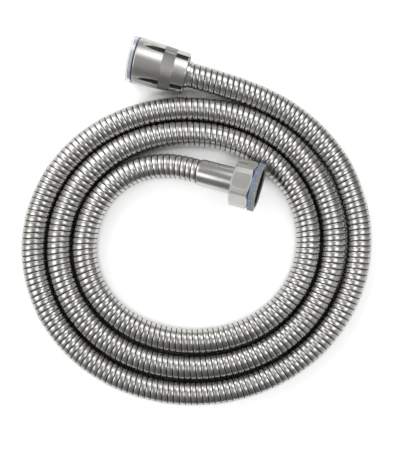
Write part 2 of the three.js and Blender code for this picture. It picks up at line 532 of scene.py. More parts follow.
@dataclass(frozen=True)
class SteelFinish(Finish):
    """Stainless steel with turning lines, smudges and painted shade in its recesses."""

    line_depth: float = 0.004
    round_scale: float = 60.0
    along_scale: float = 2500.0
    line_roughness: float = 0.06
    smudge_scale: float = 110.0
    smudge: float = 0.12
    smudge_roughness: float = 0.07
    matte_share: float = 0.5
    matte_roughness: float = 0.12
    grain_scale: float = 1500.0
    grain_height: float = 0.012
    # The colour of the painted shade in recesses.
    painted_shade_colour: tuple[float, float, float] = (0.05, 0.05, 0.045)
    recess_roughness: float = 0.25

    def painted_shade_mask(self, wiring: Wiring, place: bpy.types.NodeSocket) -> object:
        """Gives the mask of the painted shade in recesses, which plain steel doesn't have."""
        return 0.0

    def matte_mask(self, wiring: Wiring, place: bpy.types.NodeSocket) -> object:
        """Gives the mask of the matte areas, which plain steel doesn't have."""
        return 0.0

    def mark_pads_and_highlight(self, wiring: Wiring, place: bpy.types.NodeSocket, colour: object) -> object:
        """Gives the colour with the brushed pads of a nut's flats and their painted highlight rims, which
        plain steel doesn't have.
        """
        return colour

    def build(self, effects: Effects) -> bpy.types.Material:
        """Builds the material.

        Args:
            effects: The shared shader groups.

        Returns:
            The material.
        """
        material, wiring, shader, place = self.start()
        marks = self.placed(
            wiring,
            effects.marks,
            place,
            smudge_scale=self.smudge_scale,
            speck_scale=self.grain_scale,
        )
        lines = self.placed(
            wiring,
            effects.lines,
            place,
            round_scale=self.round_scale,
            along_scale=self.along_scale,
        )
        dull = tuple(channel * (1 - self.smudge) for channel in self.colour)
        colour = wiring.blend(marks.outputs["Smudges"], self.colour, dull)
        deep = tuple(channel * (1 - 2 * self.smudge) for channel in self.colour)
        colour = wiring.blend(lines.outputs["Deep"], colour, deep)
        matte = self.matte_mask(wiring, place)
        worn = tuple(channel * self.matte_share for channel in self.colour)
        colour = wiring.blend(matte, colour, worn)
        # Draws the brushed pads and paints a highlight along their rims.
        colour = self.mark_pads_and_highlight(wiring, place, colour)
        # Painted shade: the recesses are blended towards a dark colour and made rougher.
        recess = self.painted_shade_mask(wiring, place)
        colour = wiring.blend(recess, colour, self.painted_shade_colour)
        rough = self.roughness
        for mask, extra in (
            (marks.outputs["Smudges"], self.smudge_roughness),
            (lines.outputs["Deep"], self.line_roughness),
            (matte, self.matte_roughness),
            (recess, self.recess_roughness),
        ):
            rough = wiring.maths("MULTIPLY_ADD", mask, extra, rough)
        height = wiring.maths("MULTIPLY", lines.outputs["Height"], self.line_depth)
        grain = wiring.maths("MULTIPLY", marks.outputs["Specks"], self.grain_height)
        height = wiring.maths("MULTIPLY_ADD", grain, matte, height)
        bump = wiring.node("Bump", {"Height": height, "Distance": MM, "Strength": 1.0})
        shader.inputs["Metallic"].default_value = 1.0
        wiring.feed(shader.inputs["Base Color"], colour)
        wiring.feed(shader.inputs["Roughness"], rough)
        wiring.feed(shader.inputs["Normal"], bump.outputs[0])
        return material

    @staticmethod
    def radius_and_height(
        wiring: Wiring, place: bpy.types.NodeSocket
    ) -> tuple[bpy.types.NodeSocket, bpy.types.NodeSocket]:
        """Gives the distance from the piece's own axis and the height along it, in metres.

        Args:
            wiring: The material's wiring.
            place: The output that holds the place.

        Returns:
            The radius and the height.
        """
        parts = wiring.node("SeparateXYZ", {0: place})
        flat = wiring.node("CombineXYZ", {"X": parts.outputs[0], "Y": parts.outputs[1]})
        radius = wiring.node("VectorMath", {0: flat.outputs[0]}, operation="LENGTH")
        return radius.outputs["Value"], parts.outputs[2]


@dataclass(frozen=True, kw_only=True)
class CasingFinish(SteelFinish):
    """The spiral casing's steel, with painted shade down in the groove between its ribs."""

    groove_radius: float
    shade_top: float = 6.8

    def painted_shade_mask(self, wiring: Wiring, place: bpy.types.NodeSocket) -> object:
        """Gives the mask of the painted shade, 1 on the groove's floor and 0 where the shade ends."""
        radius, _ = self.radius_and_height(wiring, place)
        return wiring.ramp(radius, self.shade_top * MM, self.groove_radius * MM)


@dataclass(frozen=True, kw_only=True)
class GripFinish(SteelFinish):
    """The grip nut's satin steel, with a matte band and painted shade in its slots, bore and socket, by
    radius and height.
    """

    mouth_radius: float
    slope: float
    steel_front: float
    band: tuple[float, float]
    slots: tuple[float, float]
    shade_depth: tuple[float, float] = (0.03, 0.35)
    bore_radius: float
    bore_margin: float = 0.15
    socket_radius: float
    socket_margin: float = 0.05
    socket_floor: float

    def painted_shade_mask(self, wiring: Wiring, place: bpy.types.NodeSocket) -> object:
        """Gives the mask of the painted shade in the slots, the bore and the threaded socket.

        Args:
            wiring: The material's wiring.
            place: The output that holds the place.

        Returns:
            The mask, where a slot is what lies under the cone and outside the bore.
        """
        radius, height = self.radius_and_height(wiring, place)
        drop = wiring.maths("SUBTRACT", self.steel_front * MM, height)
        cone = wiring.maths("MULTIPLY_ADD", drop, -self.slope, self.mouth_radius * MM)
        depth = wiring.maths("SUBTRACT", cone, radius)
        sunk = wiring.ramp(depth, *(limit * MM for limit in self.shade_depth))
        wall = (self.bore_radius + self.bore_margin) * MM
        outside = wiring.maths("GREATER_THAN", radius, wall)
        behind = wiring.maths("GREATER_THAN", height, self.slots[0] * MM)
        before = wiring.maths("LESS_THAN", height, self.slots[1] * MM)
        band = self.matte_mask(wiring, place)
        between = wiring.maths("SUBTRACT", wiring.maths("MULTIPLY", behind, before), band)
        slots = wiring.maths("MULTIPLY", wiring.maths("MULTIPLY", sunk, outside), between)
        inside = wiring.maths("LESS_THAN", radius, (self.socket_radius + self.socket_margin) * MM)
        ahead = wiring.maths("GREATER_THAN", height, self.socket_floor * MM)
        socket = wiring.maths("MULTIPLY", inside, ahead)
        bore = wiring.maths("LESS_THAN", radius, wall)
        return wiring.maths("MAXIMUM", slots, wiring.maths("MAXIMUM", socket, bore))

    def matte_mask(self, wiring: Wiring, place: bpy.types.NodeSocket) -> object:
        """Gives a mask of the band that the fingers turn.

        Args:
            wiring: The material's wiring.
            place: The output that holds the place.

        Returns:
            The mask.
        """
        radius, height = self.radius_and_height(wiring, place)
        behind = wiring.maths("GREATER_THAN", height, self.band[0] * MM)
        before = wiring.maths("LESS_THAN", height, self.band[1] * MM)
        outside = wiring.maths("GREATER_THAN", radius, (self.bore_radius + self.bore_margin) * MM)
        return wiring.maths("MULTIPLY", wiring.maths("MULTIPLY", behind, before), outside)


@dataclass(frozen=True, kw_only=True)
class HexFinish(SteelFinish):
    """The hexagon nut's milled steel, with a pad and a painted highlight along its rim on each flat, and
    painted shade in its notch and its socket.
    """

    flat: float
    notch_angle: float
    notch_half_width: float
    notch_depth: float
    notch_front: float
    notch_front_margin: float = 0.2
    notch_rim: float = 0.08
    socket_radius: float
    margin: float = 0.05
    pad_middle: float
    pad_half_width: float
    pad_depth: float = 0.2
    pad_half_length: float = 5.0
    pad_corner: float = 2.6
    pad_rim: float = 0.45
    pad_colour: tuple[float, float, float] = (0.6, 0.595, 0.575)
    highlight_rim_colour: tuple[float, float, float] = (0.82, 0.815, 0.8)

    def painted_shade_mask(self, wiring: Wiring, place: bpy.types.NodeSocket) -> object:
        """Gives the mask of the painted shade on the notch's floor and walls and in the threaded socket.

        Args:
            wiring: The material's wiring.
            place: The output that holds the place.

        Returns:
            The mask.
        """
        turn = math.radians(self.notch_angle)
        across = self.distance_along(wiring, place, (math.cos(turn), math.sin(turn), 0))
        outward = self.distance_along(wiring, place, (-math.sin(turn), math.cos(turn), 0))
        radius, height = self.radius_and_height(wiring, place)
        aside = wiring.maths("ABSOLUTE", across)
        within = wiring.maths("LESS_THAN", aside, (self.notch_half_width + self.margin) * MM)
        under = wiring.maths("LESS_THAN", outward, (self.flat - self.notch_rim) * MM)
        over = wiring.maths("GREATER_THAN", outward, (self.flat - self.notch_depth - self.margin) * MM)
        behind = wiring.maths("LESS_THAN", height, (self.notch_front + self.notch_front_margin) * MM)
        notch = wiring.maths("MULTIPLY", wiring.maths("MULTIPLY", within, under), over)
        notch = wiring.maths("MULTIPLY", notch, behind)
        socket = wiring.maths("LESS_THAN", radius, (self.socket_radius + self.margin) * MM)
        return wiring.maths("MAXIMUM", notch, socket)

    def mark_pads_and_highlight(self, wiring: Wiring, place: bpy.types.NodeSocket, colour: object) -> object:
        """Draws the rounded brushed pad on each flat, with a painted highlight along its rim.

        Args:
            wiring: The material's wiring.
            place: The output that holds the place.
            colour: The steel's colour so far.

        Returns:
            The colour with the pads and their painted highlight rims.
        """
        parts = wiring.node("SeparateXYZ", {0: place})
        radius, height = self.radius_and_height(wiring, place)
        angle = wiring.maths("ARCTAN2", parts.outputs[1], parts.outputs[0])
        sixth = math.pi / 3
        aside = wiring.maths("WRAP", angle, sixth, 0.0)
        aside = wiring.maths("SUBTRACT", aside, sixth / 2)
        across = wiring.maths("MULTIPLY", radius, wiring.maths("SINE", aside))
        along = wiring.maths("SUBTRACT", height, self.pad_middle * MM)
        beyond = []
        for offset, half in ((across, self.pad_half_width), (along, self.pad_half_length)):
            past = wiring.maths("SUBTRACT", wiring.maths("ABSOLUTE", offset), (half - self.pad_corner) * MM)
            beyond.append(wiring.maths("MAXIMUM", past, 0.0))
        reach = wiring.node("VectorMath", {0: self.pair(wiring, *beyond)}, operation="LENGTH")
        edge = wiring.maths("SUBTRACT", reach.outputs["Value"], self.pad_corner * MM)
        inside = wiring.ramp(edge, 0.0, -self.pad_rim * MM)
        # Painted highlight: a bright colour along the pad's rim.
        painted_highlight = wiring.ramp(wiring.maths("ABSOLUTE", edge), self.pad_rim * MM, 0.0)
        outside = wiring.maths("GREATER_THAN", radius, (self.flat - self.pad_depth) * MM)
        colour = wiring.blend(wiring.maths("MULTIPLY", inside, outside), colour, self.pad_colour)
        return wiring.blend(wiring.maths("MULTIPLY", painted_highlight, outside), colour, self.highlight_rim_colour)

    @staticmethod
    def pair(
        wiring: Wiring, first: bpy.types.NodeSocket, second: bpy.types.NodeSocket
    ) -> bpy.types.NodeSocket:
        """Makes a flat vector of two values."""
        return wiring.node("CombineXYZ", {"X": first, "Y": second}).outputs[0]

    @staticmethod
    def distance_along(
        wiring: Wiring, place: bpy.types.NodeSocket, direction: tuple[float, float, float]
    ) -> bpy.types.NodeSocket:
        """Gives how far a place lies from the axis in a direction, in metres."""
        node = wiring.node("VectorMath", {0: place, 1: direction}, operation="DOT_PRODUCT")
        return node.outputs["Value"]


@dataclass(frozen=True)
class PlainFinish(Finish):
    """Rubber, nylon or brass: an even colour with fine specks and smudges."""

    metallic: float = 0.0
    smudge_scale: float = 200.0
    speck_scale: float = 2500.0
    speck_height: float = 0.01
    speck_roughness: float = 0.08
    spread: float = 0.2

    def build(self, effects: Effects) -> bpy.types.Material:
        """Builds the material.

        Args:
            effects: The shared shader groups.

        Returns:
            The material.
        """
        material, wiring, shader, place = self.start()
        marks = self.placed(
            wiring,
            effects.marks,
            place,
            smudge_scale=self.smudge_scale,
            speck_scale=self.speck_scale,
        )
        dull = tuple(channel * (1 - self.spread) for channel in self.colour)
        colour = wiring.blend(marks.outputs["Smudges"], self.colour, dull)
        rough = wiring.maths(
            "MULTIPLY_ADD", marks.outputs["Specks"], self.speck_roughness, self.roughness
        )
        height = wiring.maths("MULTIPLY", marks.outputs["Specks"], self.speck_height)
        bump = wiring.node("Bump", {"Height": height, "Distance": MM, "Strength": 1.0})
        shader.inputs["Metallic"].default_value = self.metallic
        wiring.feed(shader.inputs["Base Color"], colour)
        wiring.feed(shader.inputs["Roughness"], rough)
        wiring.feed(shader.inputs["Normal"], bump.outputs[0])
        return material


@dataclass(frozen=True, kw_only=True)
class ClearFinish(Finish):
    """Clear plastic that is tinted blue beside the nut and not at the open end."""

    tint: tuple[float, float, float]
    tint_back: float
    tint_front: float
    clarity: float
    bending: float = 1.47
    smudge_scale: float = 300.0
    smudge_roughness: float = 0.12

    def build(self, effects: Effects) -> bpy.types.Material:
        """Builds the material.

        Args:
            effects: The shared shader groups.

        Returns:
            The material.
        """
        material, wiring, shader, place = self.start()
        marks = self.placed(wiring, effects.marks, place, smudge_scale=self.smudge_scale)
        _, height = SteelFinish.radius_and_height(wiring, place)
        open_end = wiring.ramp(height, self.tint_back * MM, self.tint_front * MM)
        colour = wiring.blend(open_end, self.tint, self.colour)
        rough = wiring.maths(
            "MULTIPLY_ADD", marks.outputs["Smudges"], self.smudge_roughness, self.roughness
        )
        shader.inputs["Metallic"].default_value = 0.0
        shader.inputs["Transmission Weight"].default_value = self.clarity
        shader.inputs["IOR"].default_value = self.bending
        wiring.feed(shader.inputs["Base Color"], colour)
        wiring.feed(shader.inputs["Roughness"], rough)
        return material


# The hose


@dataclass
class EndFrame:
    """Where a fitting lies: the middle of its mouth, its heading in plan and its upward tilt."""

    mouth: tuple[float, float, float]
    heading: float
    tilt: float

    def matrix(self) -> Matrix:
        """Gives the matrix that takes a piece from the bench to its place.

        Returns:
            The matrix, in metres.
        """
        turn, rise = math.radians(self.heading), math.radians(self.tilt)
        outward = Vector((math.cos(turn) * math.cos(rise), math.sin(turn) * math.cos(rise), math.sin(rise)))
        side = Vector((0, 0, 1)).cross(outward).normalized()
        up = outward.cross(side)
        axes = Matrix((side, up, outward)).transposed().to_4x4()
        return Matrix.Translation(Vector(self.mouth) * MM) @ axes

    def behind(self, depth: float) -> np.ndarray:
        """Gives the point on the axis at a depth behind the mouth, in millimetres."""
        place = self.matrix() @ Vector((0, 0, -depth * MM))
        return np.array(place) / MM

    def put(self, piece: bpy.types.Object) -> None:
        """Moves a finished piece from the bench to its place and applies the move.

        Args:
            piece: The object, at rest on the bench.
        """
        piece.matrix_world = self.matrix()
        only(piece)
        bpy.ops.object.transform_apply()


@dataclass
class Stack:
    """What sits against a nut's shoulder, as depths behind the mouth in millimetres."""

    shoulder: float
    gap: float = 0.3
    slip_ring: float = 1.2
    flange: float = 1.8
    washer: float = 2.0
    ferrule_reach: float = 22.6

    def __post_init__(self) -> None:
        """Works out each depth from the shoulder outwards."""
        self.ring_back = self.shoulder - self.gap
        self.flange_back = self.ring_back - self.slip_ring - self.gap
        self.washer_back = self.flange_back - self.flange - self.gap
        self.hose_end = self.flange_back + self.gap
        self.ferrule_end = self.shoulder + self.ferrule_reach


@dataclass
class HoseRoute:
    """The hose's centreline, from the grip nut round the coil to the hexagon nut."""

    grip: EndFrame
    hexagon: EndFrame
    grip_stack: Stack
    hex_stack: Stack
    hose_radius: float = 7.0
    turn_pitch: float = 14.85
    turns: float = 2.55
    points_per_turn: int = 20
    centre: tuple[float, float] = (-3.7, -12.6)
    radius: float = 95.3
    start_angle: float = 24.0
    oval_reach: float = 4.2
    oval_angle: float = 2.6
    drift: float = 0.35
    grip_straight: float = 9.0
    hex_straight: float = 7.0
    points_per_span: int = 40
    lead: tuple[tuple[float, float, float], ...] = (
        (17.6, 79.0, 10.4),
        (28.9, 75.5, 9.2),
        (39.2, 71.5, 8.2),
        (50.8, 65.6, 7.3),
        (63.7, 56.3, 7.05),
        (76.1, 43.4, 7.0),
    )
    tail: tuple[tuple[float, float, float], ...] = (
        (-63.6, -3.2, 7.0),
        (-59.5, 8.1, 7.0),
        (-53.4, 17.2, 7.05),
        (-45.4, 24.6, 7.25),
        (-36.0, 29.8, 7.75),
        (-25.5, 32.6, 8.6),
        (-14.5, 32.9, 9.8),
    )

    def coil(self) -> list[tuple[float, float, float]]:
        """Gives the points of the coil: an oval spiral whose turns lie side by side.

        Returns:
            The points, in millimetres.
        """
        points = []
        for step in range(round(self.turns * self.points_per_turn) + 1):
            turns = step / self.points_per_turn
            angle = math.radians(self.start_angle - 360 * turns)
            oval = self.oval_reach * math.cos(2 * (angle - math.radians(self.oval_angle)))
            radius = self.radius - self.turn_pitch * turns + oval
            x = self.centre[0] + radius * math.cos(angle)
            y = self.centre[1] + self.drift * turns + radius * math.sin(angle)
            points.append((x, y, self.hose_radius))
        return points

    def straight(self, frame: EndFrame, stack: Stack, beyond: float) -> list[np.ndarray]:
        """Gives the points where the hose lies straight in a fitting and just behind it.

        Args:
            frame: The fitting's place.
            stack: The fitting's depths.
            beyond: How far the hose stays straight behind the ferrule.

        Returns:
            The points, in millimetres, from the mouth outwards.
        """
        middle = (stack.hose_end + stack.ferrule_end) / 2
        depths = (stack.hose_end, middle, stack.ferrule_end, stack.ferrule_end + beyond)
        return [frame.behind(depth) for depth in depths]

    def points(self) -> np.ndarray:
        """Gives every point that the centreline passes through.

        Returns:
            The points, in millimetres.
        """
        grip_end = self.straight(self.grip, self.grip_stack, self.grip_straight)
        hex_end = self.straight(self.hexagon, self.hex_stack, self.hex_straight)
        return np.array([*grip_end, *self.lead, *self.coil(), *self.tail, *reversed(hex_end)])

    def line(self, spacing: float = 1.0) -> np.ndarray:
        """Draws the centreline as a smooth curve through its points.

        Args:
            spacing: The distance between two points of the result, in millimetres.

        Returns:
            Evenly spaced points, in millimetres.
        """
        fine = self.smooth_curve(self.points(), self.points_per_span)
        steps = np.linalg.norm(np.diff(fine, axis=0), axis=1)
        along = np.concatenate([[0], np.cumsum(steps)])
        places = np.linspace(0, along[-1], round(along[-1] / spacing) + 1)
        return np.stack([np.interp(places, along, fine[:, axis]) for axis in range(3)], axis=1)

    @staticmethod
    def smooth_curve(points: np.ndarray, per_span: int) -> np.ndarray:
        """Runs a centripetal curve through points.

        Args:
            points: The points to pass through.
            per_span: How many points are drawn between two of them.

        Returns:
            The curve's points.
        """
        padded = np.vstack([2 * points[0] - points[1], points, 2 * points[-1] - points[-2]])
        shares = np.linspace(0, 1, per_span, endpoint=False)[:, None]
        spans = []
        for before, start, end, after in zip(padded, padded[1:], padded[2:], padded[3:]):
            first, middle, last = (
                math.sqrt(np.linalg.norm(b - a)) for a, b in ((before, start), (start, end), (end, after))
            )
            leave = (start - before) / first - (end - before) / (first + middle) + (end - start) / middle
            arrive = (end - start) / middle - (after - start) / (middle + last) + (after - end) / last
            leave, arrive = leave * middle, arrive * middle
            square = -3 * start + 3 * end - 2 * leave - arrive
            cube = 2 * start - 2 * end + leave + arrive
            spans.append(start + leave * shares + square * shares**2 + cube * shares**3)
        return np.vstack([*spans, points[-1:]])


@dataclass
class SpiralCasing:
    """The steel strip wound into a ribbed tube, which is bent along the route."""

    route: HoseRoute
    rib_pitch: float = 3.28
    sides: int = 32
    groove_floor: float = 0.1
    wall: float = 0.045
    shoulder: float = 0.11
    groove_radius: float = 6.45
    shoulder_radius: float = 6.88
    crown_radius: float = 7.0
    shading_angle: float = 50

    def rib(self, pitch: float) -> list[tuple[float, float]]:
        """Gives the section of one rib and its groove.

        Args:
            pitch: The distance from one rib to the next, in millimetres.

        Returns:
            Radius and height of each corner.
        """
        top = 1 - self.wall
        return [
            (self.groove_radius, 0),
            (self.groove_radius, self.groove_floor * pitch),
            (self.shoulder_radius, (self.groove_floor + self.wall) * pitch),
            (self.crown_radius, (self.groove_floor + self.wall + self.shoulder) * pitch),
            (self.crown_radius, (top - self.shoulder) * pitch),
            (self.shoulder_radius, top * pitch),
            (self.groove_radius, pitch),
        ]

    def wind(self, length: float) -> bpy.types.Object:
        """Winds the straight casing as one long screw and closes its ends.

        Args:
            length: The casing's length, in millimetres.

        Returns:
            The straight casing along Z.
        """
        turns = round(length / self.rib_pitch) - 1
        pitch = length / (turns + 1)
        casing = drawn_line("spiral_casing", self.rib(pitch))
        apply_modifier(
            casing,
            "SCREW",
            axis="Z",
            angle=2 * math.pi,
            steps=self.sides,
            render_steps=self.sides,
            screw_offset=pitch * MM,
            iterations=turns,
            use_merge_vertices=True,
            merge_threshold=SAME_POINT,
        )
        close_up(casing)
        bpy.ops.object.mode_set(mode="EDIT")
        bpy.ops.mesh.select_all(action="DESELECT")
        bpy.ops.mesh.select_non_manifold()
        bpy.ops.mesh.edge_face_add()
        bpy.ops.mesh.select_all(action="SELECT")
        bpy.ops.mesh.normals_make_consistent(inside=False)
        bpy.ops.object.mode_set(mode="OBJECT")
        return casing

    def guide(self, line: np.ndarray) -> bpy.types.Object:
        """Makes the curve that the casing is bent along.

        Args:
            line: The centreline's points, in millimetres.

        Returns:
            The curve.
        """
        data = bpy.data.curves.new("route", "CURVE")
        data.dimensions = "3D"
        data.twist_mode = "MINIMUM"
        spline = data.splines.new("POLY")
        spline.points.add(len(line) - 1)
        places = np.c_[line * MM, np.ones(len(line))]
        spline.points.foreach_set("co", places.ravel())
        curve = bpy.data.objects.new("route", data)
        bpy.context.scene.collection.objects.link(curve)
        return curve

    def build(self) -> tuple[bpy.types.Object, np.ndarray, float]:
        """Builds the casing in its place.

        Returns:
            The casing, its centreline in metres and its length in metres.
        """
        line = self.route.line()
        length = float(np.linalg.norm(np.diff(line, axis=0), axis=1).sum())
        casing = self.wind(length)
        remember_place(casing)
        curve = self.guide(line)
        apply_modifier(casing, "CURVE", object=curve, deform_axis="POS_Z")
        bpy.data.objects.remove(curve)
        smooth(casing, self.shading_angle)
        return casing, line * MM, length * MM


# The fittings


@dataclass
class Thread:
    """The half-inch pipe thread inside a nut, one long ridge on the socket's wall."""

    start: float
    end: float
    crest: float = 9.4
    root: float = 10.4
    pitch: float = 1.814
    steps: int = 64
    sunk: float = 0.06
    crest_share: float = 0.2
    root_share: float = 0.72

    def build(self) -> bpy.types.Object:
        """Builds the ridge on the bench.

        Returns:
            The ridge, closed at its two ends.
        """
        turns = math.floor((self.start - self.end) / self.pitch) - 1
        half_root = self.root_share * self.pitch / 2
        half_crest = self.crest_share * self.pitch / 2
        middle = self.end + half_root
        corners = [
            (self.root + self.sunk, middle - half_root),
            (self.root + self.sunk, middle + half_root),
            (self.crest, middle + half_crest),
            (self.crest, middle - half_crest),
        ]
        ridge = drawn_line("thread", [*corners, corners[0]])
        close_up(ridge)
        apply_modifier(
            ridge,
            "SCREW",
            axis="Z",
            angle=2 * math.pi,
            steps=self.steps,
            render_steps=self.steps,
            screw_offset=self.pitch * MM,
            iterations=turns,
            use_merge_vertices=False,
        )
        bpy.ops.object.mode_set(mode="EDIT")
        bpy.ops.mesh.select_all(action="SELECT")
        bpy.ops.mesh.remove_doubles(threshold=SAME_POINT)
        bpy.ops.mesh.select_all(action="DESELECT")
        bpy.ops.mesh.select_non_manifold()
        bpy.ops.mesh.fill_holes(sides=4)
        bpy.ops.mesh.select_all(action="SELECT")
        bpy.ops.mesh.normals_make_consistent(inside=False)
        bpy.ops.object.mode_set(mode="OBJECT")
        return ridge


@dataclass
class Fitting:
    """The fixed pieces that both ends share, and what every piece needs to be handed over."""

    end: End
    frame: EndFrame
    stack: Stack
    steps: int = 96
    ferrule_inner: float = 7.3
    ferrule_outer: float = 7.7
    ferrule_short: float = 0.0
    lip: float = 0.25
    nut_bore: float = 8.0
    flange_radius: float = 9.1
    insert_bore: float = 2.6
    insert_edge: float = 0.4
    insert_rounding: float = 0.12
    barb_root: float = 3.3
    barb_tip: float = 3.7
    barb_length: float = 20.0
    barbs: int = 4
    washer_bore: float = 5.5
    ring_rounding: float = 0.18
    rounded_angle: float = 50

    def hand_over(
        self,
        piece: bpy.types.Object,
        node: str,
        body: str,
        finish: Finish,
        material: bpy.types.Material,
        angle: float = 32,
    ) -> bpy.types.Object:
        """Dresses a piece, puts it in its place and says which node and body it stands for.

        Args:
            piece: The finished mesh on the bench.
            node: The last words of the node that it replaces.
            body: The body that it moves with.
            finish: The finish that it takes, which is not used.
            material: The finish's material.
            angle: The angle for its smooth shading, in degrees.

        Returns:
            The piece.
        """
        piece.name = f"{self.end.value}_{node}_piece"
        remember_place(piece)
        piece.data.materials.clear()
        piece.data.materials.append(material)
        smooth(piece, angle)
        apply_modifier(piece, "WEIGHTED_NORMAL", keep_sharp=True)
        self.frame.put(piece)
        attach(piece, body)
        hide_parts(f"{self.end.value}_{node}")
        log.info("%s: %d faces on %s", piece.name, len(piece.data.polygons), body)
        return piece

    def ferrule(self) -> bpy.types.Object:
        """Makes the sleeve that is crimped over the casing, with a rolled lip.

        Returns:
            The ferrule.
        """
        back, front = self.ferrule_short - self.stack.ferrule_end, -self.stack.hose_end
        lip, inner, outer = self.lip, self.ferrule_inner, self.ferrule_outer
        corners = [
            (inner, back + lip),
            (inner + CORNER_SHARE * lip, back + CORNER_SHARE * lip),
            (inner + lip, back),
            (outer - 0.5 * lip, back + 0.1 * lip),
            (outer, back + lip),
            (outer, front),
            (inner, front),
        ]
        return turned("ferrule", corners, self.steps)

    def insert(self) -> bpy.types.Object:
        """Makes the insert with its flange and its barbed tail.

        Returns:
            The insert.
        """
        back = -self.stack.flange_back
        pitch = self.barb_length / self.barbs
        corners = [(self.insert_bore, back - self.barb_length)]
        for barb in reversed(range(self.barbs)):
            start = back - barb * pitch
            corners.append((self.barb_root, start - pitch))
            corners.append((self.barb_tip, start - pitch / 2))
            corners.append((self.barb_root, start - pitch / 2))
        corners += [
            (self.barb_root, back),
            (self.flange_radius, back),
            (self.flange_radius, back + self.stack.flange),
            (self.insert_bore + self.insert_edge, back + self.stack.flange),
            (self.insert_bore, back + self.stack.flange - self.insert_edge),
        ]
        piece = turned("insert", corners, self.steps)
        soften(piece, self.insert_rounding, self.rounded_angle)
        return piece

    def ring(
        self, name: str, inner: float, outer: float, back: float, thickness: float
    ) -> bpy.types.Object:
        """Makes a flat ring with softened edges.

        Args:
            name: The new object's name.
            inner: Its inner radius.
            outer: Its outer radius.
            back: The depth of its rear face.
            thickness: Its thickness.

        Returns:
            The ring.
        """
        corners = [(inner, -back), (outer, -back), (outer, -back + thickness), (inner, -back + thickness)]
        piece = turned(name, corners, self.steps)
        soften(piece, self.ring_rounding, self.rounded_angle)
        return piece

    def build_fixed(self, finishes: "Wardrobe") -> None:
        """Builds the pieces that stay on the hose and the slip ring that slides on it.

        Args:
            finishes: The finishes and their materials.
        """
        stack, slider = self.stack, f"{self.end.value}_slider"
        washer = self.ring("washer", self.washer_bore, self.flange_radius, stack.washer_back, stack.washer)
        slip = self.ring("slip_ring", self.nut_bore, self.flange_radius, stack.ring_back, stack.slip_ring)
        for piece, node, body, name in (
            (self.ferrule(), "ferrule", "hose", "ferrule"),
            (self.insert(), "insert", "hose", "brass"),
            (washer, "washer", "hose", "washer"),
            (slip, "slip_ring", slider, "nylon"),
        ):
            self.hand_over(piece, node, body, *finishes.named(name))


